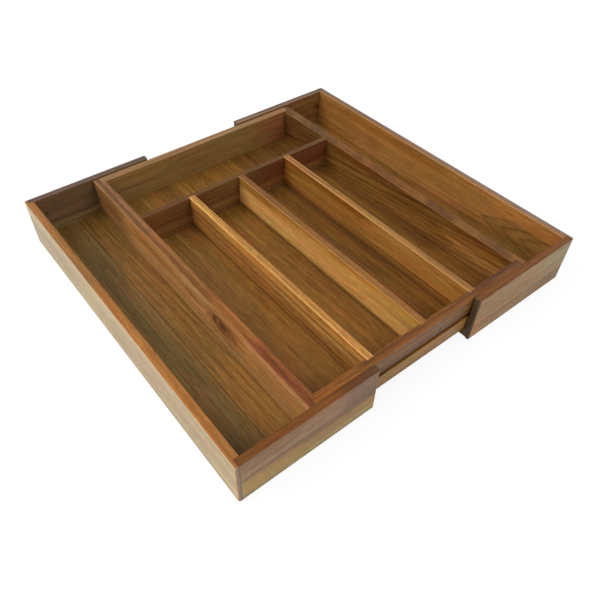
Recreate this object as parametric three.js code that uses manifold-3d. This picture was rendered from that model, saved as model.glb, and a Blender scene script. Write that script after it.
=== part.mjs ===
// Expandable cutlery tray in oiled hardwood.
// A centre box with five compartments stands between two U-shaped side trays. Short runners on the
// side trays' front and back boards slide in stopped grooves of the centre box, so each tray pulls
// out sideways until its runners meet the ends of the grooves. The side trays' floors pass under the box.
// Millimetres, +Z up. X is the pull-out direction, and Y runs from the front to the back.
// The origin is the middle of the footprint, on the surface that the tray stands on.

import * as THREE from "three";
import { mergeVertices, toCreasedNormals } from "three/addons/utils/BufferGeometryUtils.js";
import Module from "manifold-3d";

// Overall sizes
const overallDepth = 430;
const trayHeight = 59;
const centreWidth = 298;
const centreDrop = 2; // top of the centre box below the top of the side trays
const leftPull = 72.5; // how far the left tray is pulled out from closed
const rightPull = 61.5;
const fullPull = 100; // where the runners meet the ends of their grooves

// Board thicknesses
const endBoardThickness = 8; // front and back boards of the side trays
const sideBoardThickness = 9;
const centreEndWallThickness = 10; // front and back walls of the centre box
const centreSideWallThickness = 12;
const dividerThickness = 8;
const crossDividerThickness = 7;

// Compartments of the centre box
const backCompartmentDepth = 84;
const dividerCount = 3;

// Floors
const sideFloorThickness = 9.5;
const sideFloorLift = 0.5; // underside of the side floors above the surface
const sideRebateWidth = 4; // side floors let into their boards
const centreFloorThickness = 6;
const centreRebateWidth = 5; // centre floor let into its walls
const floorEndSetback = 1; // side floor back from the inner ends of its boards
const sideFloorSeam = 51; // from a side tray's outer face to its floor's glue line
const centreFloorMiddleWidth = 84;
const seamTongueLength = 3;
const seamTongueHeight = 2;
const seamEase = 0.5;

// Runners and their grooves
const grooveBase = 29; // lower edge of the groove above the surface
const grooveHeight = 6.5;
const grooveDepth = 4.5;
const runnerLength = 34;
const runnerSetback = 4; // runner back from the inner end of its board
const runnerBite = 3; // runner let into its board
const runnerClearance = 0.3;
const runnerTipGap = 0.5;

// Running and closing gaps
const slideGap = 0.5; // between the centre box and the boards and floors that pass it
const closedGap = 0.5; // between a side board and the centre box when closed
const meetingGap = 1.5; // from the middle to a closed tray's inner ends
const stopGap = 0.5; // left between runner and groove end at full pull

// Joinery. The side walls and side boards are rabbeted at their ends, and the lips left outside run
// over the ends of the front and back boards.
const wallLip = 6;
const boardLip = 3;
const dividerHousingDepth = 2.5;
const crossHousingDepth = 4;
const housingStop = 8; // stopped joints end this far below the top edge
const glueGap = 0.15;

// Edges
const edgeEase = 0.8; // round-over along top and bottom edges
const smallCorner = 1.5; // vertical edges of the centre box and of the boards' inner ends
const trayCorner = 2; // outer vertical corners of the side trays
const cutOverrun = 5;
const arcDivisions = 4;
const easeSteps = 4;
const shadingCrease = Math.PI / 5;

// Sizes that follow
const halfDepth = overallDepth / 2;
const halfCentre = centreWidth / 2;
const boardLength = halfCentre + closedGap + sideBoardThickness - meetingGap;
const overallWidth = centreWidth + 2 * (closedGap + sideBoardThickness) + leftPull + rightPull;
const centreX = leftPull + closedGap + sideBoardThickness + halfCentre - overallWidth / 2;
const endBoardInner = halfDepth - endBoardThickness;
const centreOuterY = endBoardInner - slideGap;
const centreInnerX = halfCentre - centreSideWallThickness;
const centreInnerY = centreOuterY - centreEndWallThickness;
const sideFloorTop = sideFloorLift + sideFloorThickness;
const centreBase = sideFloorTop + slideGap;
const centreTop = trayHeight - centreDrop;
const centreFloorTop = centreBase + centreFloorThickness;
const crossDividerBack = centreInnerY - backCompartmentDepth;
const crossDividerFront = crossDividerBack - crossDividerThickness;
const grooveLength = 2 * (meetingGap + fullPull + runnerSetback + runnerLength + stopGap);

// Wood tones, one for each board
const tones = {
  pale: 0xb99a72,
  tan: 0xa9834e,
  taupe: 0x8b6f57,
  orange: 0x9a5f31,
  redBrown: 0x80502f,
  gold: 0xa77a3c,
  olive: 0x6f4f2b,
  umber: 0x5c3c22,
};

const wasm = await Module();
wasm.setup();

function solidOf(geometry) {
  const bare = geometry.index ? geometry.toNonIndexed() : geometry;
  bare.deleteAttribute("normal");
  bare.deleteAttribute("uv");
  const merged = mergeVertices(bare);
  const vertProperties = new Float32Array(merged.attributes.position.array);
  const triVerts = new Uint32Array(merged.index.array);
  return new wasm.Manifold(new wasm.Mesh({ numProp: 3, vertProperties, triVerts }));
}

function piece(name, solid, tone) {
  const { numProp, vertProperties, triVerts } = solid.getMesh();
  const geometry = new THREE.BufferGeometry();
  geometry.setAttribute("position", new THREE.BufferAttribute(vertProperties, numProp));
  geometry.setIndex(new THREE.BufferAttribute(triVerts, 1));
  const material = new THREE.MeshStandardMaterial({ color: tone, roughness: 0.55, metalness: 0 });
  const mesh = new THREE.Mesh(toCreasedNormals(geometry, shadingCrease), material);
  mesh.name = name;
  return mesh;
}

// A box between two ranges on each axis. Either end of a range may come first.
function block([x0, x1], [y0, y1], [z0, z1]) {
  const geometry = new THREE.BoxGeometry(Math.abs(x1 - x0), Math.abs(y1 - y0), Math.abs(z1 - z0));
  geometry.translate((x0 + x1) / 2, (y0 + y1) / 2, (z0 + z1) / 2);
  return solidOf(geometry);
}

// An outline of square corners, each rounded by its own radius.
function outlineOf(corners) {
  const shape = new THREE.Shape();
  corners.forEach(([x, y, radius = 0], index) => {
    const [beforeX, beforeY] = corners.at(index - 1);
    const [afterX, afterY] = corners[(index + 1) % corners.length];
    const corner = new THREE.Vector2(x, y);
    const back = new THREE.Vector2(beforeX, beforeY).sub(corner).setLength(radius);
    const onward = new THREE.Vector2(afterX, afterY).sub(corner).setLength(radius);
    const centre = corner.clone().add(back).add(onward);
    const start = corner.clone().add(back);
    if (index === 0) shape.moveTo(start.x, start.y);
    else shape.lineTo(start.x, start.y);
    if (radius > 0) {
      const clockwise = back.cross(onward) > 0;
      const from = onward.clone().negate().angle();
      const to = back.clone().negate().angle();
      shape.absarc(centre.x, centre.y, radius, from, to, clockwise);
    }
  });
  return shape;
}

function rectangle([x0, x1], [y0, y1], radius) {
  return outlineOf([
    [x0, y0, radius],
    [x1, y0, radius],
    [x1, y1, radius],
    [x0, y1, radius],
  ]);
}

// A plan outline raised between two heights, with its top and bottom edges rounded over.
function easedFrame(outline, [bottom, top]) {
  const geometry = new THREE.ExtrudeGeometry(outline, {
    depth: top - bottom - 2 * edgeEase,
    curveSegments: arcDivisions,
    bevelThickness: edgeEase,
    bevelSize: edgeEase,
    bevelOffset: -edgeEase,
    bevelSegments: easeSteps,
  });
  geometry.translate(0, 0, bottom + edgeEase);
  return solidOf(geometry);
}

// A profile drawn in (Y, Z) and run along X, or drawn in (X, Z) and run along Y.
function profileAlongX(outline, [x0, x1]) {
  const geometry = new THREE.ExtrudeGeometry(outline, {
    depth: x1 - x0,
    curveSegments: arcDivisions,
    bevelEnabled: false,
  });
  const axes = [new THREE.Vector3(0, 1, 0), new THREE.Vector3(0, 0, 1), new THREE.Vector3(1, 0, 0)];
  geometry.applyMatrix4(new THREE.Matrix4().makeBasis(...axes));
  geometry.translate(x0, 0, 0);
  return solidOf(geometry);
}

function profileAlongY(outline, [y0, y1]) {
  const geometry = new THREE.ExtrudeGeometry(outline, {
    depth: Math.abs(y1 - y0),
    curveSegments: arcDivisions,
    bevelEnabled: false,
  });
  const axes = [new THREE.Vector3(1, 0, 0), new THREE.Vector3(0, 0, 1), new THREE.Vector3(0, -1, 0)];
  geometry.applyMatrix4(new THREE.Matrix4().makeBasis(...axes));
  geometry.translate(0, Math.max(y0, y1), 0);
  return solidOf(geometry);
}

// A bar with half-round ends, as a router cuts a stopped groove, seen from the front.
function roundEndedBar([x0, x1], [z0, z1], yRange) {
  const outline = rectangle([x0, x1], [z0, z1], (z1 - z0) / 2);
  return profileAlongY(outline, yRange);
}

// A board on edge with its two top edges rounded over.
function dividerOutline([low, high], [bottom, top]) {
  return outlineOf([
    [low, bottom],
    [high, bottom],
    [high, top, edgeEase],
    [low, top, edgeEase],
  ]);
}

// One board of a floor, in (X, Z), running front to back. An edge is plain, or has a tongue or a
// groove for the glue line. The top corners at a glue line are eased, which leaves a fine V.
function floorBoard([x0, x1], [bottom, top], yRange, { tongue = false, groove = false, mirror = 1 }) {
  const tongueBase = (bottom + top - seamTongueHeight) / 2;
  const tongueRange = [tongueBase, tongueBase + seamTongueHeight];
  const outline = new THREE.Shape();
  outline.moveTo(x0 * mirror, bottom);
  outline.lineTo(x1 * mirror, bottom);
  if (tongue) {
    outline.lineTo(x1 * mirror, tongueRange[0]);
    outline.lineTo((x1 + seamTongueLength) * mirror, tongueRange[0]);
    outline.lineTo((x1 + seamTongueLength) * mirror, tongueRange[1]);
    outline.lineTo(x1 * mirror, tongueRange[1]);
    outline.lineTo(x1 * mirror, top - seamEase);
    outline.lineTo((x1 - seamEase) * mirror, top);
  } else {
    outline.lineTo(x1 * mirror, top);
  }
  if (groove) {
    const grooveFloor = x0 + seamTongueLength + glueGap;
    outline.lineTo((x0 + seamEase) * mirror, top);
    outline.lineTo(x0 * mirror, top - seamEase);
    outline.lineTo(x0 * mirror, tongueRange[1] + glueGap);
    outline.lineTo(grooveFloor * mirror, tongueRange[1] + glueGap);
    outline.lineTo(grooveFloor * mirror, tongueRange[0] - glueGap);
    outline.lineTo(x0 * mirror, tongueRange[0] - glueGap);
  } else {
    outline.lineTo(x0 * mirror, top);
  }
  outline.closePath();
  return profileAlongY(outline, yRange);
}

// Centre box

const ringOutline = rectangle([-halfCentre, halfCentre], [-centreOuterY, centreOuterY], smallCorner);
ringOutline.holes.push(rectangle([-centreInnerX, centreInnerX], [-centreInnerY, centreInnerY], 0));
const ring = easedFrame(ringOutline, [centreBase, centreTop]);

const rebateX = centreInnerX + centreRebateWidth;
const rebateY = centreInnerY + centreRebateWidth;
const floorRebate = block([-rebateX, rebateX], [-rebateY, rebateY], [centreBase - cutOverrun, centreFloorTop]);

function dividerX(index) {
  const pitch = (2 * centreInnerX + dividerThickness) / (dividerCount + 1);
  return (index - (dividerCount - 1) / 2) * pitch;
}

function dividerSpan(index, gap) {
  const reach = dividerThickness / 2 + gap;
  return [dividerX(index) - reach, dividerX(index) + reach];
}

const dividerNames = ["centre_divider_left", "centre_divider_middle", "centre_divider_right"];
const dividerIndices = [...Array(dividerCount).keys()];

function centreEndWall(endY) {
  const beyond = endY * (centreOuterY + cutOverrun);
  const reach = halfCentre - wallLip;
  const height = [centreBase - cutOverrun, centreTop + cutOverrun];
  const bar = ring.intersect(block([-reach, reach], [endY * centreInnerY, beyond], height));
  const grooveEnds = [-grooveLength / 2, grooveLength / 2];
  const grooveSpan = [endY * (centreOuterY - grooveDepth), beyond];
  const groove = roundEndedBar(grooveEnds, [grooveBase, grooveBase + grooveHeight], grooveSpan);
  return bar.subtract(groove).subtract(floorRebate);
}

function centreFrontWall() {
  const housingY = [-centreInnerY - dividerHousingDepth, -centreInnerY + cutOverrun];
  let wall = centreEndWall(-1);
  for (const index of dividerIndices) {
    const housingZ = [centreFloorTop, centreTop + cutOverrun];
    wall = wall.subtract(block(dividerSpan(index, glueGap), housingY, housingZ));
  }
  return wall;
}

const crossHousingTop = centreTop - housingStop;

function centreSideWall(sideX) {
  const beyond = sideX * (halfCentre + cutOverrun);
  const height = [centreBase - cutOverrun, centreTop + cutOverrun];
  const body = block([sideX * centreInnerX, beyond], [-centreInnerY, centreInnerY], height);
  const lipReach = centreOuterY + cutOverrun;
  const lips = block([sideX * (halfCentre - wallLip), beyond], [-lipReach, lipReach], height);
  const bar = ring.intersect(body.add(lips));
  const housingX = [sideX * (centreInnerX - cutOverrun), sideX * (centreInnerX + crossHousingDepth)];
  const housingY = [crossDividerFront - glueGap, crossDividerBack + glueGap];
  const housing = block(housingX, housingY, [centreFloorTop, crossHousingTop + glueGap]);
  return bar.subtract(floorRebate).subtract(housing);
}

function crossDivider() {
  const reach = centreInnerX + crossHousingDepth - glueGap;
  const outline = dividerOutline([crossDividerFront, crossDividerBack], [centreFloorTop, centreTop]);
  let board = profileAlongX(outline, [-reach, reach]);
  const notchY = [crossDividerFront - cutOverrun, crossDividerBack + cutOverrun];
  for (const sideX of [-1, 1]) {
    const notchX = [sideX * centreInnerX, sideX * (reach + cutOverrun)];
    board = board.subtract(block(notchX, notchY, [crossHousingTop, centreTop + cutOverrun]));
  }
  const housingY = [crossDividerFront - cutOverrun, crossDividerFront + dividerHousingDepth];
  for (const index of dividerIndices) {
    const housingZ = [centreFloorTop - cutOverrun, centreTop + cutOverrun];
    board = board.subtract(block(dividerSpan(index, glueGap), housingY, housingZ));
  }
  return board;
}

function longDivider(index) {
  const housed = dividerHousingDepth - glueGap;
  const outline = dividerOutline(dividerSpan(index, 0), [centreFloorTop, centreTop]);
  return profileAlongY(outline, [-centreInnerY - housed, crossDividerFront + housed]);
}

const centreFloorY = [-rebateY + glueGap, rebateY - glueGap];
const centreFloorZ = [centreBase, centreFloorTop];
const centreFloorEdge = rebateX - glueGap;
const seamX = centreFloorMiddleWidth / 2;

const centreBox = new THREE.Group();
centreBox.position.x = centreX;
centreBox.add(
  piece("centre_front_wall", centreFrontWall(), tones.redBrown),
  piece("centre_back_wall", centreEndWall(1), tones.olive),
  piece("centre_left_wall", centreSideWall(-1), tones.orange),
  piece("centre_right_wall", centreSideWall(1), tones.umber),
  piece("centre_cross_divider", crossDivider(), tones.umber),
  ...dividerIndices.map((index) => piece(dividerNames[index], longDivider(index), tones.gold)),
  piece(
    "centre_floor_left",
    floorBoard([-centreFloorEdge, -seamX], centreFloorZ, centreFloorY, { tongue: true }),
    tones.olive,
  ),
  piece(
    "centre_floor_middle",
    floorBoard([-seamX, seamX], centreFloorZ, centreFloorY, { tongue: true, groove: true }),
    tones.umber,
  ),
  piece(
    "centre_floor_right",
    floorBoard([seamX, centreFloorEdge], centreFloorZ, centreFloorY, { groove: true }),
    tones.olive,
  ),
);

// Side trays
// Each is drawn from its outer face inward. toInner is 1 for the left tray and -1 for the right one.

function trayFrame(toInner) {
  const inner = toInner * sideBoardThickness;
  const end = toInner * boardLength;
  const outline = outlineOf([
    [0, -halfDepth, trayCorner],
    [end, -halfDepth, smallCorner],
    [end, -endBoardInner, smallCorner],
    [inner, -endBoardInner],
    [inner, endBoardInner],
    [end, endBoardInner, smallCorner],
    [end, halfDepth, smallCorner],
    [0, halfDepth, trayCorner],
  ]);
  return easedFrame(outline, [0, trayHeight]);
}

function trayFloorRebate(toInner) {
  const x = [toInner * (sideBoardThickness - sideRebateWidth), toInner * (boardLength + cutOverrun)];
  const reach = endBoardInner + sideRebateWidth;
  return block(x, [-reach, reach], [-cutOverrun, sideFloorTop + glueGap]);
}

function runner(toInner, endY, gap) {
  const low = grooveBase + runnerClearance - gap;
  const high = grooveBase + grooveHeight - runnerClearance + gap;
  const innerEnd = boardLength - runnerSetback;
  const ends = [toInner * (innerEnd - runnerLength - gap), toInner * (innerEnd + gap)];
  ends.sort((a, b) => a - b);
  const root = endY * (endBoardInner + runnerBite - glueGap + gap);
  const tip = endY * (centreOuterY - grooveDepth + runnerTipGap);
  return roundEndedBar(ends, [low, high], [root, tip]);
}

function endBoard(frame, toInner, endY) {
  const x = [toInner * boardLip, toInner * (boardLength + cutOverrun)];
  const y = [endY * endBoardInner, endY * (halfDepth + cutOverrun)];
  const height = [-cutOverrun, trayHeight + cutOverrun];
  return frame
    .intersect(block(x, y, height))
    .subtract(trayFloorRebate(toInner))
    .subtract(runner(toInner, endY, glueGap));
}

function sideBoard(frame, toInner) {
  const outside = -toInner * cutOverrun;
  const height = [-cutOverrun, trayHeight + cutOverrun];
  const body = block([outside, toInner * sideBoardThickness], [-endBoardInner, endBoardInner], height);
  const lipReach = halfDepth + cutOverrun;
  const lips = block([outside, toInner * boardLip], [-lipReach, lipReach], height);
  return frame.intersect(body.add(lips)).subtract(trayFloorRebate(toInner));
}

function sideTray(prefix, toInner, woods) {
  const frame = trayFrame(toInner);
  const floorReach = endBoardInner + sideRebateWidth - glueGap;
  const floorY = [-floorReach, floorReach];
  const floorZ = [sideFloorLift, sideFloorTop];
  const floorOuter = sideBoardThickness - sideRebateWidth + glueGap;
  const floorInner = boardLength - floorEndSetback;
  const outerBoard = { tongue: true, mirror: toInner };
  const innerBoard = { groove: true, mirror: toInner };
  const tray = new THREE.Group();
  tray.position.x = (-toInner * overallWidth) / 2;
  tray.add(
    piece(`${prefix}_front_board`, endBoard(frame, toInner, -1), woods.front),
    piece(`${prefix}_back_board`, endBoard(frame, toInner, 1), woods.back),
    piece(`${prefix}_side_board`, sideBoard(frame, toInner), woods.side),
    piece(
      `${prefix}_floor_outer`,
      floorBoard([floorOuter, sideFloorSeam], floorZ, floorY, outerBoard),
      woods.floor,
    ),
    piece(
      `${prefix}_floor_inner`,
      floorBoard([sideFloorSeam, floorInner], floorZ, floorY, innerBoard),
      woods.floor,
    ),
    piece(`${prefix}_front_runner`, runner(toInner, -1, 0), tones.tan),
    piece(`${prefix}_back_runner`, runner(toInner, 1, 0), tones.tan),
  );
  return tray;
}

const leftWoods = { front: tones.taupe, back: tones.umber, side: tones.pale, floor: tones.olive };
const rightWoods = { front: tones.taupe, back: tones.orange, side: tones.gold, floor: tones.olive };

const tray = new THREE.Group();
tray.add(centreBox, sideTray("left", 1, leftWoods), sideTray("right", -1, rightWoods));

export default tray;
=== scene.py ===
import math

import bpy
from mathutils import Color, Matrix, Vector


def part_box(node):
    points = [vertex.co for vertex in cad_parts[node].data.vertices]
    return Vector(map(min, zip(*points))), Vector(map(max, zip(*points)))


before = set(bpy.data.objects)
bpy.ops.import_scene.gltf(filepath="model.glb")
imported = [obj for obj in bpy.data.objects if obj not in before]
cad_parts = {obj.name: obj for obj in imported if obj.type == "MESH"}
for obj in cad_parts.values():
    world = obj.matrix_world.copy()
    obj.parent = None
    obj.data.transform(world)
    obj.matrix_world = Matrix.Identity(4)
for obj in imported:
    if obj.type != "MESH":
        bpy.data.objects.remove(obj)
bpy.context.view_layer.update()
scene = bpy.context.scene

# Centre box, front and back walls
# Boards 10 mm thick between the lips of the side walls, of oiled hardwood with the grain along their
# length. A stopped groove in the outer face takes the side trays' runners.


class Signal:
    """A node's output. Sums, differences, products, quotients and powers of signals add Math nodes."""

    def __init__(self, finish, socket):
        self.finish = finish
        self.socket = socket

    def __add__(self, other):
        return self.finish.math("ADD", self, other)

    def __radd__(self, other):
        return self.finish.math("ADD", other, self)

    def __sub__(self, other):
        return self.finish.math("SUBTRACT", self, other)

    def __rsub__(self, other):
        return self.finish.math("SUBTRACT", other, self)

    def __mul__(self, other):
        return self.finish.math("MULTIPLY", self, other)

    def __rmul__(self, other):
        return self.finish.math("MULTIPLY", other, self)

    def __truediv__(self, other):
        return self.finish.math("DIVIDE", self, other)

    def __rtruediv__(self, other):
        return self.finish.math("DIVIDE", other, self)

    def __pow__(self, other):
        return self.finish.math("POWER", self, other)

    def __rpow__(self, other):
        return self.finish.math("POWER", other, self)

    def __abs__(self):
        return self.finish.math("ABSOLUTE", self)

    def rising(self, start, end):
        """0 before start, 1 past end, and a smooth step between them. start may be the larger one."""
        settings = {"interpolation_type": "SMOOTHSTEP"}
        inputs = {"Value": self, "From Min": start, "From Max": end}
        return self.finish.node("ShaderNodeMapRange", settings, inputs)


class Finish:
    """The nodes of a material, or of the world, which is its owner."""

    # A Mix node names its number, vector and colour sockets alike, so they are given by place.
    mix_share = 0
    mix_first = 6
    mix_second = 7
    mix_result = 2

    def __init__(self, owner):
        owner.use_nodes = True
        owner.node_tree.nodes.clear()
        self.owner = owner
        self.tree = owner.node_tree

    def node(self, kind, settings=None, inputs=(), output=0):
        made = self.tree.nodes.new(kind)
        for key, value in (settings or {}).items():
            setattr(made, key, value)
        pairs = inputs.items() if isinstance(inputs, dict) else enumerate(inputs)
        for key, value in pairs:
            socket = made.inputs[key]
            if isinstance(value, Signal):
                self.tree.links.new(value.socket, socket)
            else:
                socket.default_value = value
        return Signal(self, made.outputs[output]) if made.outputs else None

    def math(self, operation, *values):
        return self.node("ShaderNodeMath", {"operation": operation}, values)

    def vector(self, operation, *values, output=0):
        return self.node("ShaderNodeVectorMath", {"operation": operation}, values, output)

    def parts(self, vector):
        return [self.node("ShaderNodeSeparateXYZ", {}, (vector,), axis) for axis in range(3)]

    def point(self, x, y, z):
        return self.node("ShaderNodeCombineXYZ", {}, (x, y, z))

    def blend(self, share, first, second, how="MIX"):
        settings = {"data_type": "RGBA", "blend_type": how}
        inputs = {self.mix_share: share, self.mix_first: first, self.mix_second: second}
        return self.node("ShaderNodeMix", settings, inputs, self.mix_result)

    def noise(self, vector, detail, roughness=0.5, output=0):
        inputs = {"Vector": vector, "Scale": 1.0, "Detail": detail, "Roughness": roughness}
        return self.node("ShaderNodeTexNoise", {}, inputs, output)


def tone(code):
    """A colour written as in a paint chart, RRGGBB, in the linear values that a shader takes."""
    shares = [int(code[start:start + 2], 16) / 255 for start in (0, 2, 4)]
    return (*Color(shares).from_srgb_to_scene_linear(), 1.0)


def board(node, grain, base, other, top=None, ends="655a4c", heart=(0.03, -0.03), climb=0.0, spacing=0.0045,
          rings=1.0, contrast=1.0, lines=0.3, wear_and_highlight=0.05, seed=0.0, zones=(), tops=(), arch=None, knot=None,
          seamed=False):
    """Gives a board the figure of the log that it was sawn from, and an oiled finish.

    grain is the axis that the fibres follow. base is the wood's mean colour, other = (colour, share) the
    wood that streaks it, top the colour of its top edge, which is cut across the rings, and ends that of
    its sawn ends. heart is how far the middle of the log lies across the board and above it, in metres.
    climb is how fast the growth rings climb along it, spacing the distance between them, and rings how
    much they show. contrast sets how much the whole figure shows, lines how dark its mineral streaks are,
    and wear_and_highlight how pale its rounded edges are painted, partly for sanded wood and partly as a
    painted highlight of the lamps. seed picks another stretch of the same kind of figure.

    Each zone is (colour, share, (axis, start, end), ...): wood of another colour that sets in from start
    to end, measured from the board's middle. tops are zones that only the top edge shows. arch is (tip,
    centre, slope, pitch, colour): rings that close in a point at tip, at the height centre, and open
    towards the front, pitch apart, with arms that fall back by slope for each metre up or down. knot is
    (along, across, height, radius). seamed draws the glued seams of a floor board.
    """
    low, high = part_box(node)
    half_x = (high.x - low.x) / 2
    half_height = (high.z - low.z) / 2
    finish = Finish(bpy.data.materials.new(f"{node}_oiled"))
    place = finish.node("ShaderNodeTexCoord", output="Object")
    x, y, height = finish.parts(finish.vector("SUBTRACT", place, (low + high) / 2))
    along, across = (x, y) if grain == "X" else (y, x)

    # The fibres wander by a few millimetres over the length of the board, and ripple on the way.
    wander = 0.009
    wander_along = 4
    wander_across = 7
    ripple = 0.0014
    ripple_along = 17
    ripple_across = 35
    slow = finish.point(along * wander_along + seed, across * wander_across, height * wander_across)
    quick = finish.point(along * ripple_along, across * ripple_across + seed, height * ripple_across)
    sway = (finish.noise(slow, detail=1.0) - 0.5) * wander
    sway = sway + (finish.noise(quick, detail=1.0) - 0.5) * ripple
    wide = across + sway
    tall = height + sway

    def figure_noise(cells_along, cells_across, detail, roughness=0.5, shift=0.0, output=0):
        """Noise drawn out along the fibres, with so many cells in a metre along and across them."""
        stretched = finish.point(along * cells_along + shift, wide * cells_across, tall * cells_across)
        return finish.noise(stretched, detail, roughness, output)

    streaks = figure_noise(2.5, 230, detail=3.0, roughness=0.6, shift=-seed)
    flecks = figure_noise(90, 600, detail=2.0, roughness=0.6, shift=seed)
    fibres = figure_noise(30, 1000, detail=3.0, roughness=0.6, shift=seed)
    broad = figure_noise(5, 28, detail=1.0, shift=seed)
    drift = figure_noise(3, 38, detail=2.0, roughness=0.6, shift=seed * 2)
    hues = figure_noise(14, 110, detail=2.0, shift=seed, output="Color")
    vein_field = figure_noise(2.2, 90, detail=1.0, shift=seed * 3)
    pore_field = figure_noise(110, 1900, detail=1.0)

    # Growth rings are circles round the heart, seen wherever the board's faces cut them. They bend
    # round a knot.
    heart_across, heart_height = heart
    distance = ((wide - heart_across) ** 2 + (tall - heart_height) ** 2) ** 0.5
    ring = (distance + along * climb) / spacing
    if knot:
        knot_stretch = 1.9
        knot_bend = 1.5
        bend_border = (0.6, 3.0)
        knot_along, knot_across, knot_height, radius = knot
        reach = ((along - knot_along) / knot_stretch) ** 2 + (across - knot_across) ** 2
        reach = (reach + (height - knot_height) ** 2) ** 0.5 / radius
        ring = ring + (1 - reach.rising(*bend_border)) * (radius / spacing * knot_bend)
    ring_tone = finish.node("ShaderNodeTexNoise", {"noise_dimensions": "1D"},
                            {"W": ring + seed, "Scale": 1.0, "Detail": 3.0, "Roughness": 0.6})

    # Sapwood, heartwood and stained bands lie along the fibres, so their borders break up into streaks.
    other_wood, other_most = other
    other_border = (0.42, 0.6)
    streak_pull = 0.5
    other_share = (drift + (streaks - 0.5) * streak_pull).rising(*other_border) * other_most
    wood = finish.blend(other_share, tone(base), tone(other_wood))
    if arch:
        arch_line_brown = "3a1c0c"
        rounding_squared = 0.00002
        sway_pull = 7
        inside_border = (-0.1, 0.15)
        inside_share = 0.45
        line_border = (0.0, 0.3)
        line_share = 0.36
        arch_tip, arch_centre, slope, pitch, arch_wood = arch
        arm = ((tall - arch_centre) ** 2 + rounding_squared) ** 0.5
        arch_place = (along - arch_tip + arm * slope + sway * sway_pull) / pitch
        inside = 1 - arch_place.rising(*inside_border)
        arch_line = 1 - finish.math("PINGPONG", arch_place, 0.5).rising(*line_border)
        wood = finish.blend(inside * inside_share, wood, tone(arch_wood))
        wood = finish.blend(inside * arch_line * line_share, wood, tone(arch_line_brown))

    def lay(patches, reach, wood):
        """Lays zones over the wood, as far as reach goes."""
        axes = {"along": along, "across": across, "height": height}
        for code, share, *borders in patches:
            mask = reach * share
            for axis, start, end in borders:
                ragged = axes[axis] + (streaks - 0.5) * (2 * (end - start))
                mask = ragged.rising(start, end) * mask
            wood = finish.blend(mask, wood, tone(code))
        return wood

    wood = lay(zones, 1.0, wood)
    if top:
        edge_depth = 0.001
        edge_full = 0.0003
        other_in_top = 0.4
        upper = height.rising(half_height - edge_depth, half_height - edge_full)
        top_wood = finish.blend(other_share * other_in_top, tone(top), tone(other_wood))
        wood = lay(tops, upper, finish.blend(upper, wood, top_wood))

    # The figure makes the wood darker and paler, and where it is darker it is redder too.
    streak_strength = 1.2
    broad_strength = 0.3
    fleck_strength = 0.8
    fibre_strength = 1.1
    green_power = 1.15
    blue_power = 1.35
    figure = (ring_tone - 0.5) * rings + (streaks - 0.5) * streak_strength + (broad - 0.5) * broad_strength
    figure = figure + (flecks - 0.5) * fleck_strength + (fibres - 0.5) * fibre_strength
    figure = figure * contrast + 1
    depth = finish.point(figure, figure ** green_power, figure ** blue_power)
    wood = finish.blend(1.0, wood, depth, "MULTIPLY")

    # The wood's hue shifts a little from place to place, as this timber's does.
    hue_swing = 0.4
    hues = finish.vector("MULTIPLY_ADD", hues, (hue_swing,) * 3, (1 - hue_swing / 2,) * 3)
    wood = finish.blend(1.0, wood, hues, "MULTIPLY")

    # Mineral streaks are thin dark lines that come and go along the fibres.
    vein_brown = "2e1708"
    vein_width = 0.03
    vein_stretches = (0.45, 0.62)
    vein = 1 - abs(vein_field - 0.5).rising(0.0, vein_width)
    wood = finish.blend(vein * broad.rising(*vein_stretches) * lines, wood, tone(vein_brown))

    # Pores are short dark dashes along the fibres, and dots on the sawn ends.
    pore_brown = "2a160c"
    pore_border = (0.62, 0.74)
    pore_share = 0.38
    pores = pore_field.rising(*pore_border)
    wood = finish.blend(pores * pore_share, wood, tone(pore_brown))

    # A knot has a dark halo, a broken ring of bark and a brown core, all a little ragged.
    if knot:
        rough_along = 60
        rough_across = 110
        rough_pull = 0.9
        halo_brown = "5f381a"
        halo_border = (0.8, 2.6)
        halo_share = 0.6
        bark_black = "22100a"
        bark_border = (0.05, 0.3)
        bark_stretches = (0.4, 0.55)
        bark_share = 0.75
        rim_brown = "2c150d"
        rim_border = (0.2, 0.75)
        rim_share = 0.8
        core_brown = "6a3c28"
        core_border = (0.0, 0.3)
        core_share = 0.5
        rough_field = finish.point(along * rough_along, across * rough_across, height * rough_across)
        rough = finish.noise(rough_field, detail=1.0) - 0.5
        ragged = reach + rough * rough_pull + (streaks - 0.5) * streak_pull
        bark = (1 - abs(ragged - 1.0).rising(*bark_border)) * broad.rising(*bark_stretches)
        wood = finish.blend((1 - ragged.rising(*halo_border)) * halo_share, wood, tone(halo_brown))
        wood = finish.blend(bark * bark_share, wood, tone(bark_black))
        wood = finish.blend((1 - ragged.rising(*rim_border)) * rim_share, wood, tone(rim_brown))
        wood = finish.blend((1 - ragged.rising(*core_border)) * core_share, wood, tone(core_brown))

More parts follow.
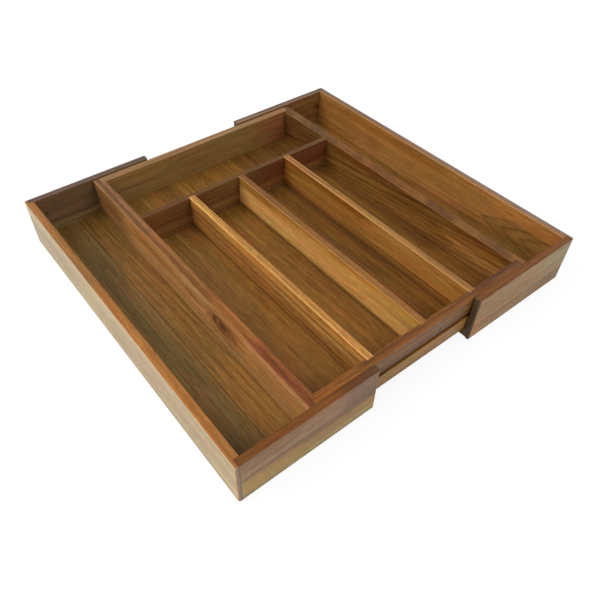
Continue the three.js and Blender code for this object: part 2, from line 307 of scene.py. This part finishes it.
    # The sawn ends drink more oil and turn darker and greyer. The lower edges are painted dark, a painted
    # shade where each board stands on what is below it. The joints at the ends and the seams of a floor are
    # dark lines.
    end_border = (0.6, 0.95)
    end_share = 0.85
    foot_shade_brown = "33271c"
    foot_shade_share = 0.7
    foot_shade_full = 0.0008
    foot_shade_reach = 0.0022
    turned = [abs(part) for part in finish.parts(finish.node("ShaderNodeTexCoord", output="Normal"))]
    sawn = turned["XYZ".index(grain)].rising(*end_border)
    wood = finish.blend(sawn * end_share, wood, tone(ends))
    foot = 1 - height.rising(foot_shade_full - half_height, foot_shade_reach - half_height)
    wood = finish.blend(foot * foot_shade_share, wood, tone(foot_shade_brown))
    if grain == "X":
        joint_brown = "2a211a"
        joint_share = 0.75
        joint_from = 0.001
        joint_full = 0.0006
        joint = abs(along).rising(half_x - joint_from, half_x - joint_full)
        wood = finish.blend(joint * joint_share, wood, tone(joint_brown))
    if seamed:
        seam_brown = "2a1c10"
        seam_share = 0.6
        seam_from = 0.0011
        seam_full = 0.0006
        seam = abs(across).rising(half_x - seam_from, half_x - seam_full)
        wood = finish.blend(seam * seam_share, wood, tone(seam_brown))

    # Painted highlight: the rounded edges are painted paler, partly for pale sanded wood and partly
    # standing in for the lamps' highlights on them.
    wear_and_highlight_gold = "e0a860"
    flat_border = (0.8, 0.97)
    flattest = finish.math("MAXIMUM", finish.math("MAXIMUM", turned[0], turned[1]), turned[2])
    rounded = 1 - flattest.rising(*flat_border)
    wood = finish.blend(rounded * wear_and_highlight, wood, tone(wear_and_highlight_gold))

    # Fibres stand up a little from the surface and pores lie in it, under a satin oil.
    fibre_relief = 0.35
    ring_relief = 0.15
    pore_relief = 0.6
    bump_depth = 0.0004
    bump_strength = 0.25
    mean_roughness = 0.42
    fibre_roughness = 0.25
    pore_roughness = 0.2
    oil_ior = 1.45
    oil_specular = 0.2
    relief = fibres * fibre_relief + ring_tone * ring_relief - pores * pore_relief
    bump = finish.node("ShaderNodeBump", {},
                       {"Strength": bump_strength, "Distance": bump_depth, "Height": relief})
    roughness = (fibres - 0.5) * fibre_roughness + pores * pore_roughness + mean_roughness
    shader = finish.node("ShaderNodeBsdfPrincipled", {},
                         {"Base Color": wood, "Roughness": roughness, "Normal": bump, "IOR": oil_ior,
                          "Specular IOR Level": oil_specular})
    finish.node("ShaderNodeOutputMaterial", {}, {"Surface": shader})
    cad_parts[node].material_slots[0].material = finish.owner


# Painted shade: the outer face is painted dark over the groove's mouth, fading out about 11 mm above it,
# for the shade in and over the groove. The wood below the groove is paler.
grooved_face = ("across", -0.004, -0.0045)
board("centre_front_wall", grain="X", base="6c4017", other=("544017", 0.5), top="693e17", seed=1.0,
      zones=[("301700", 0.8, ("height", 0.012, 0.001), ("height", -0.0045, -0.0035), grooved_face),
             ("805b2b", 0.8, ("height", -0.004, -0.0045), grooved_face)],
      tops=[("784619", 0.9, ("along", -0.07, -0.1)),
            ("553110", 0.9, ("along", 0.045, 0.09))])
# Its right end is redder.
board("centre_back_wall", grain="X", base="7e5d31", other=("705837", 0.3), top="7a5a3a", rings=0.4,
      contrast=0.6, seed=2.0,
      zones=[("7b4527", 0.7, ("along", 0.06, 0.12))])

# Centre box, side walls
# Boards 12 mm thick, rabbeted at both ends, so that a 6 mm lip runs over the front and back walls.
# The left one has a knot by its front end.

# Browner at the back and more orange at the front, with red and dark stretches in the top edge.
board("centre_left_wall", grain="Y", base="a17040", other=("7d683e", 0.3), top="69401a", heart=(0.05, 0.03),
      rings=0.8, wear_and_highlight=0.2, seed=3.0,
      zones=[("6a4524", 0.8, ("along", 0.105, 0.15)),
             ("a5723c", 0.8, ("along", -0.035, -0.075), ("height", -0.011, -0.007),
              ("height", 0.0228, 0.0215)),
             ("905e2c", 0.7, ("along", 0.0, 0.03), ("along", 0.13, 0.105), ("height", 0.006, 0.009)),
             ("b77f4f", 0.6, ("along", -0.095, -0.115), ("height", 0.003, 0.007))],
      tops=[("823c22", 0.5, ("along", -0.06, -0.12)),
            ("684a33", 0.5, ("along", 0.05, 0.14)),
            ("7b4f21", 0.8, ("along", -0.035, -0.06), ("along", -0.125, -0.105)),
            ("613617", 0.8, ("along", -0.115, -0.135))],
      knot=(-0.073, -0.006, 0.0055, 0.0078))
# Red and dark at the back, darker above the middle and paler at the foot of the front.
board("centre_right_wall", grain="Y", base="724a1d", other=("4d3e20", 0.3), top="5f3c15",
      heart=(-0.01, 0.16), climb=-0.12, spacing=0.005, rings=1.5, seed=4.0,
      zones=[("823e1a", 0.5, ("along", 0.09, 0.13)),
             ("926431", 0.9, ("along", -0.105, -0.135), ("height", 0.004, 0.0)),
             ("7f5427", 0.8, ("along", 0.0, -0.06), ("height", -0.0065, -0.0085)),
             ("5b330f", 0.8, ("height", 0.0125, 0.0145), ("along", 0.11, 0.1)),
             ("4f3618", 0.8, ("along", 0.105, 0.12)),
             ("623e17", 0.8, ("along", 0.01, -0.02), ("along", -0.105, -0.09), ("height", -0.003, 0.001))],
      tops=[("5b3d1a", 0.8, ("along", 0.105, 0.13)),
            ("694015", 0.8, ("along", -0.115, -0.09), ("along", 0.1, 0.08))])

# Cross divider
# A darker board 7 mm thick, let into the side walls.

# Redder in its right half, and paler at the foot.
board("centre_cross_divider", grain="X", base="67411f", other=("504125", 0.35), top="543517",
      heart=(0.03, -0.04), contrast=0.7, seed=5.0,
      zones=[("592514", 0.6, ("along", 0.0, 0.05), ("across", 0.0, -0.0012)),
             ("744d26", 0.8, ("height", -0.003, -0.009))])

# Long dividers
# Three golden boards 8 mm thick, let into the cross divider and the front wall, flush with their tops.

divider_heart = (0.04, 0.02)
# The dividers' rounded edges are painted paler: sanded wood and a painted highlight of the lamps.
divider_wear_and_highlight = 0.5
# Golden, with a brown line below its top and a brown foot.
board("centre_divider_left", grain="Y", base="90622d", other=("6c4b25", 0.45), top="a8773b",
      heart=divider_heart, contrast=1.2, spacing=0.006, wear_and_highlight=divider_wear_and_highlight, seed=6.0,
      zones=[("9f6b30", 0.9, ("height", 0.0095, 0.0105), ("along", 0.11, 0.07)),
             ("784a1b", 0.8, ("height", 0.0045, 0.0055), ("height", 0.0088, 0.0078)),
             ("966834", 0.9, ("height", -0.0095, -0.008), ("height", 0.0055, 0.0045)),
             ("72491d", 0.9, ("height", -0.0095, -0.0108))])
# The palest one, with a brown foot and a redder upper back end.
board("centre_divider_middle", grain="Y", base="b58442", other=("98743f", 0.3), top="724921",
      heart=divider_heart, rings=0.6, contrast=0.8, wear_and_highlight=divider_wear_and_highlight, seed=7.0,
      zones=[("6a461b", 0.75, ("height", -0.0145, -0.0165)),
             ("834a20", 0.7, ("height", 0.0135, 0.0155), ("along", -0.02, 0.03)),
             ("a36e2b", 0.9, ("height", 0.0135, 0.015)),
             ("84581f", 0.8, ("height", 0.0085, 0.0105), ("along", 0.06, 0.09)),
             ("bc8b4b", 0.8, ("height", -0.0145, -0.0135), ("height", 0.005, 0.003))],
      tops=[("653f1e", 0.8, ("along", 0.06, 0.09)),
            ("794f23", 0.8, ("along", 0.01, -0.02))])
# Brown foot with a thin dark line above it in the front half, and a browner top at the back.
board("centre_divider_right", grain="Y", base="885a23", other=("7c532c", 0.3), top="895e2e",
      heart=divider_heart, rings=0.7, contrast=0.8, wear_and_highlight=divider_wear_and_highlight, seed=8.0,
      zones=[("532c13", 0.5, ("height", -0.0125, -0.0145)),
             ("3d1d0d", 0.7, ("height", -0.0106, -0.01), ("height", -0.0086, -0.0092),
              ("along", 0.03, -0.03)),
             ("95652d", 0.9, ("along", 0.03, -0.03), ("height", -0.0085, -0.0078)),
             ("693b0d", 0.8, ("height", 0.01, 0.0145), ("along", -0.03, 0.02))])

# Centre floor
# Three boards glued edge to edge, with fine V lines between them.

flat_sawn = (0.01, -0.05)
board("centre_floor_left", grain="Y", base="775021", other=("4e3a19", 0.5), heart=flat_sawn, rings=0.6,
      seed=10.0, seamed=True,
      zones=[("7a5626", 0.7, ("along", -0.07, -0.035), ("across", -0.006, -0.011)),
             ("60421c", 0.8, ("along", 0.05, 0.09), ("across", 0.007, 0.012), ("across", 0.032, 0.027))])
board("centre_floor_middle", grain="Y", base="7d5422", other=("5d3f1c", 0.5), heart=flat_sawn, rings=0.5,
      seed=11.0, seamed=True,
      zones=[("6d4419", 0.9, ("across", -0.008, -0.004)),
             ("6a491c", 0.7, ("along", 0.06, 0.1))])
board("centre_floor_right", grain="Y", base="6d491c", other=("4f2d12", 0.6), heart=flat_sawn, rings=0.8,
      seed=12.0, seamed=True,
      zones=[("593a16", 0.9, ("along", 0.08, 0.13)),
             ("6f471b", 0.9, ("along", -0.08, -0.12))])

# Side boards of the side trays
# The left one's outer face is painted pale, a painted sheen of the white room. Both are rabbeted, so that
# a 3 mm lip runs over the ends of the front and back boards.

painted_sheen_face = ("across", -0.0042, -0.00445)
# Painted sheen: the outer face is painted pale for the white room's reflection in it, a little paler
# low down in front and browner at the back.
board("left_side_board", grain="Y", base="8f5c28", other=("7a4c24", 0.4), top="825225", heart=(0.06, 0.0),
      contrast=0.8, lines=0.1, seed=14.0,
      zones=[("947e5a", 1.0, painted_sheen_face),
             ("9e8662", 0.8, painted_sheen_face, ("along", 0.0, -0.03), ("height", -0.007, -0.011)),
             ("887655", 0.8, painted_sheen_face, ("along", 0.07, 0.13))],
      tops=[("754f26", 0.8, ("along", 0.02, 0.06)),
            ("885727", 0.7, ("along", -0.03, -0.05), ("along", -0.14, -0.12))])
# The rings close in arches at its front end.
board("right_side_board", grain="Y", base="936330", other=("795528", 0.25), top="775434",
      heart=(0.06, -0.002), contrast=0.8, rings=0.5, wear_and_highlight=0.3, seed=15.0,
      arch=(-0.091, -0.0045, 3.4, 0.03, "6a5228"),
      zones=[("9f6c38", 0.8, ("height", -0.003, -0.008), ("along", -0.09, -0.05), ("along", 0.135, 0.11)),
             ("845522", 0.8, ("height", 0.014, 0.0165), ("along", -0.06, -0.01)),
             ("9c662f", 0.8, ("along", -0.105, -0.125), ("height", 0.011, 0.0135)),
             ("875828", 0.7, ("along", 0.11, 0.14), ("height", -0.003, 0.0))],
      tops=[("5f5253", 0.7, ("across", 0.0002, 0.0008))])

# Front and back boards of the side trays
# Boards 8 mm thick between the lips of the side boards, with eased inner ends. The front ones show bands
# of grey-brown heartwood and olive sapwood outside; part of their grey is a painted sheen of the white
# room.

front_face = ("across", -0.0036, -0.0039)
# Outer face grey-brown above, part of its grey a painted sheen of the white room, a dark band in the
# middle and olive below.
board("left_front_board", grain="X", base="6e3e11", other=("55300f", 0.5), top="5c3511", rings=0.6,
      seed=16.0,
      zones=[("775a3e", 1.0, front_face),
             ("7d5e2f", 0.8, front_face, ("height", -0.002, -0.005)),
             ("533c25", 0.7, front_face, ("height", -0.0055, -0.0035), ("height", 0.0008, -0.001)),
             ("896a36", 0.9, front_face, ("along", 0.0, -0.03), ("height", -0.001, -0.003)),
             ("704f30", 0.9, front_face, ("height", 0.0185, 0.0205)),
             ("897044", 0.9, front_face, ("height", -0.0185, -0.0205)),
             ("624832", 0.9, front_face, ("along", 0.03, 0.045), ("height", -0.006, -0.002))],
      tops=[("403d3c", 0.6, ("along", 0.055, 0.062)),
            ("48290e", 0.9, ("along", 0.03, 0.04))])
board("left_back_board", grain="X", base="6a4f35", other=("453f29", 0.5), top="524037", contrast=0.8,
      seed=17.0,
      zones=[("796139", 0.8, ("height", -0.006, -0.013)),
             ("5b432d", 0.8, ("height", 0.01, 0.014))])
# Outer face grey-brown, part of its grey a painted sheen of the white room, olive towards the right,
# redder at the inner end and browner low down on the right.
board("right_front_board", grain="X", base="723d07", other=("55300f", 0.4), top="643912", ends="7b5e3c",
      rings=0.5, seed=18.0,
      zones=[("7a5a35", 1.0, front_face),
             ("6a653c", 0.5, front_face, ("along", 0.02, 0.04), ("height", 0.0, 0.01)),
             ("915621", 0.5, front_face, ("along", -0.055, -0.066), ("height", 0.0, -0.006)),
             # Painted shade: the inner end is painted dark for the shadow between it and the centre box's
             # front wall.
             ("332111", 0.85, ("along", -0.0752, -0.0756)),
             ("6a4c29", 0.8, front_face, ("along", 0.015, 0.045), ("height", -0.008, -0.012))])
board("right_back_board", grain="X", base="6f4c27", other=("503119", 0.5), top="6a5444", seed=19.0,
      knot=(0.067, -0.004, 0.0079, 0.0034))

# Floors of the side trays
# Two boards each, let into a rebate round the front, back and side boards and running under the centre
# box.

rift_sawn = (0.02, -0.04)
board("left_floor_outer", grain="Y", base="6d522a", other=("504322", 0.4), heart=flat_sawn, rings=0.5,
      seed=20.0, seamed=True,
      # Painted shade: the half beside the side board is darker towards the front, for the side board's
      # shadow.
      zones=[("5c4522", 0.7, ("along", -0.09, -0.16), ("across", 0.004, -0.004)),
             ("73552b", 0.8, ("along", -0.07, -0.04), ("along", 0.09, 0.06), ("across", 0.005, 0.0085)),
             ("755527", 0.7, ("along", -0.03, -0.06), ("across", 0.0125, 0.015)),
             ("5f4624", 0.7, ("along", 0.05, 0.08), ("across", 0.0125, 0.015))])
board("left_floor_inner", grain="Y", base="795326", other=("53421f", 0.3), heart=rift_sawn, climb=-0.04,
      seed=22.0, seamed=True,
      zones=[("5f441d", 0.8, ("along", 0.07, 0.13)),
             ("7b5525", 0.8, ("along", -0.06, -0.12))])
board("right_floor_outer", grain="Y", base="7e5726", other=("553e1f", 0.5), heart=flat_sawn, rings=0.5,
      seed=21.0, seamed=True)
board("right_floor_inner", grain="Y", base="8c6230", other=("5f4c28", 0.5), heart=rift_sawn, rings=0.6,
      seed=23.0, seamed=True)

# Runners
# Short round-ended strips of golden wood, let into the inner faces of the front and back boards.

for side, seed in (("left", 24.0), ("right", 25.0)):
    for end in ("front", "back"):
        board(f"{side}_{end}_runner", grain="X", base="a9793c", other=("8a5a28", 0.4), heart=(0.02, 0.02),
              seed=seed)

# Floor, backdrop and light
# A matt paper floor that the camera sees as almost white near the tray and as white further out, a white
# room, and four round softboxes about 45 degrees up, most of their light from the left and the front.

white = (1.0, 1.0, 1.0, 1.0)
paper_grey = (0.85, 0.85, 0.85, 1.0)
floor_reach = 6.0
near_floor = 0.45
far_floor = 1.5
near_white = 0.86
corners = [(x * floor_reach, y * floor_reach, 0) for x, y in ((-1, -1), (1, -1), (1, 1), (-1, 1))]
floor_mesh = bpy.data.meshes.new("studio_floor")
floor_mesh.from_pydata(corners, [], [(0, 1, 2, 3)])
studio_floor = bpy.data.objects.new("studio_floor", floor_mesh)
scene.collection.objects.link(studio_floor)
paper = Finish(bpy.data.materials.new("pale_paper"))
matt = paper.node("ShaderNodeBsdfDiffuse", {}, {"Color": paper_grey})
glow = paper.node("ShaderNodeEmission", {}, {"Color": white, "Strength": 1.0})
seen = paper.node("ShaderNodeLightPath", output="Is Camera Ray")
paper_place = paper.node("ShaderNodeTexCoord", output="Object")
reach = paper.vector("LENGTH", paper_place, output="Value")
plain_white = reach.rising(near_floor, far_floor) * (1 - near_white) + near_white
surface = paper.node("ShaderNodeMixShader", {}, (seen * plain_white, matt, glow))
paper.node("ShaderNodeOutputMaterial", {}, {"Surface": surface})
floor_mesh.materials.append(paper.owner)

room_light = 0.67
room = Finish(bpy.data.worlds.new("white_studio"))
seen_sky = room.node("ShaderNodeLightPath", output="Is Camera Ray")
strength = room.node("ShaderNodeMapRange", {}, {"Value": seen_sky, "To Min": room_light, "To Max": 1.0})
backdrop = room.node("ShaderNodeBackground", {}, {"Color": white, "Strength": strength})
room.node("ShaderNodeOutputWorld", {}, {"Surface": backdrop})
scene.world = room.owner


def softbox(name, place, watts):
    softbox_width = 1.2
    light = bpy.data.lights.new(name, "AREA")
    light.energy = watts
    light.shape = "DISK"
    light.size = softbox_width
    lamp = bpy.data.objects.new(name, light)
    scene.collection.objects.link(lamp)
    lamp.location = place
    lamp.rotation_mode = "QUATERNION"
    lamp.rotation_quaternion = (-Vector(place)).to_track_quat("-Z", "Y")


softbox("left_softbox", place=(-1.45, 0.0, 1.35), watts=14.5)
softbox("back_left_softbox", place=(-1.2, 0.9, 1.4), watts=24)
softbox("front_softbox", place=(0.3, -1.45, 1.35), watts=18)
softbox("right_softbox", place=(1.5, 0.2, 1.3), watts=3)

# Camera
# It stands at the photograph's viewpoint, above the front left corner. Its place and angles were found by
# fitting the tray's edges to the photograph.

camera_place = Vector((-0.3346, -0.416, 0.4863))
camera_heading = 38.578
camera_pitch = 47.32
camera_roll = 0.626
focal_pixels = 599.15
frame_pixels = 600
centre_pixels = (288.55, 310.3)
sensor_millimetres = 36.0
lens = bpy.data.cameras.new("camera")
lens.sensor_width = sensor_millimetres
lens.lens = sensor_millimetres * focal_pixels / frame_pixels
lens.shift_x = (frame_pixels / 2 - centre_pixels[0]) / frame_pixels
lens.shift_y = (centre_pixels[1] - frame_pixels / 2) / frame_pixels
camera = bpy.data.objects.new("camera", lens)
scene.collection.objects.link(camera)
turn = Matrix.Rotation(math.radians(-camera_heading), 4, "Z")
tilt = Matrix.Rotation(math.radians(90 - camera_pitch), 4, "X")
lean = Matrix.Rotation(math.radians(camera_roll), 4, "Z")
camera.matrix_world = Matrix.Translation(camera_place) @ turn @ tilt @ lean
scene.camera = camera

scene.view_settings.view_transform = "Standard"
